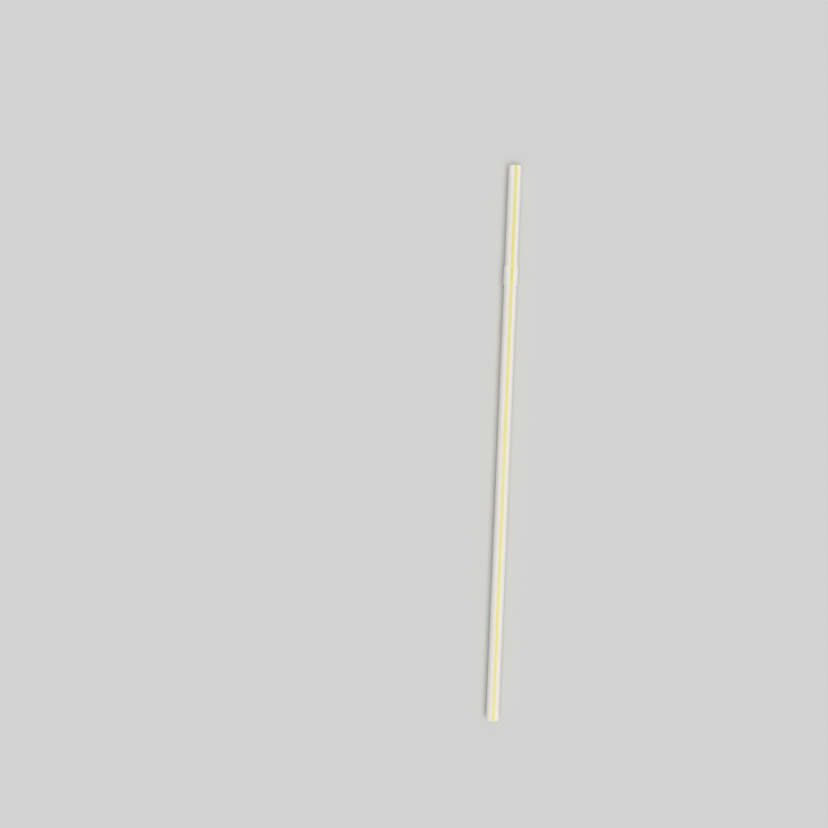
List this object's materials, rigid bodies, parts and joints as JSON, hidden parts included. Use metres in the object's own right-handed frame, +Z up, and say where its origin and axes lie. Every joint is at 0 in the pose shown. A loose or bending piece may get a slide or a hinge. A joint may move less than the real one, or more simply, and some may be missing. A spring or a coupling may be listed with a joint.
{
  "type": "plastic drinking straw",
  "caption": "Flexible drinking straw: a thin plastic tube, open and cut square at both ends, with a pressed bellows near the mouth end and fine coloured lines along it.",
  "frame": {"origin": "on the surface the straw lies on, under the middle of its length and of its width", "axes": "+Y along the straw's axis towards its mouth end, +Z up, the axis level"},
  "size_m": [0.0056, 0.21, 0.0057],
  "materials": {
    "straw_plastic": "extruded white polypropylene, semi-gloss and a little translucent, with three thin yellow lines along it"
  },
  "bodies": {
    "root": {"straw": "straw_plastic"}
  },
  "joints": []
}
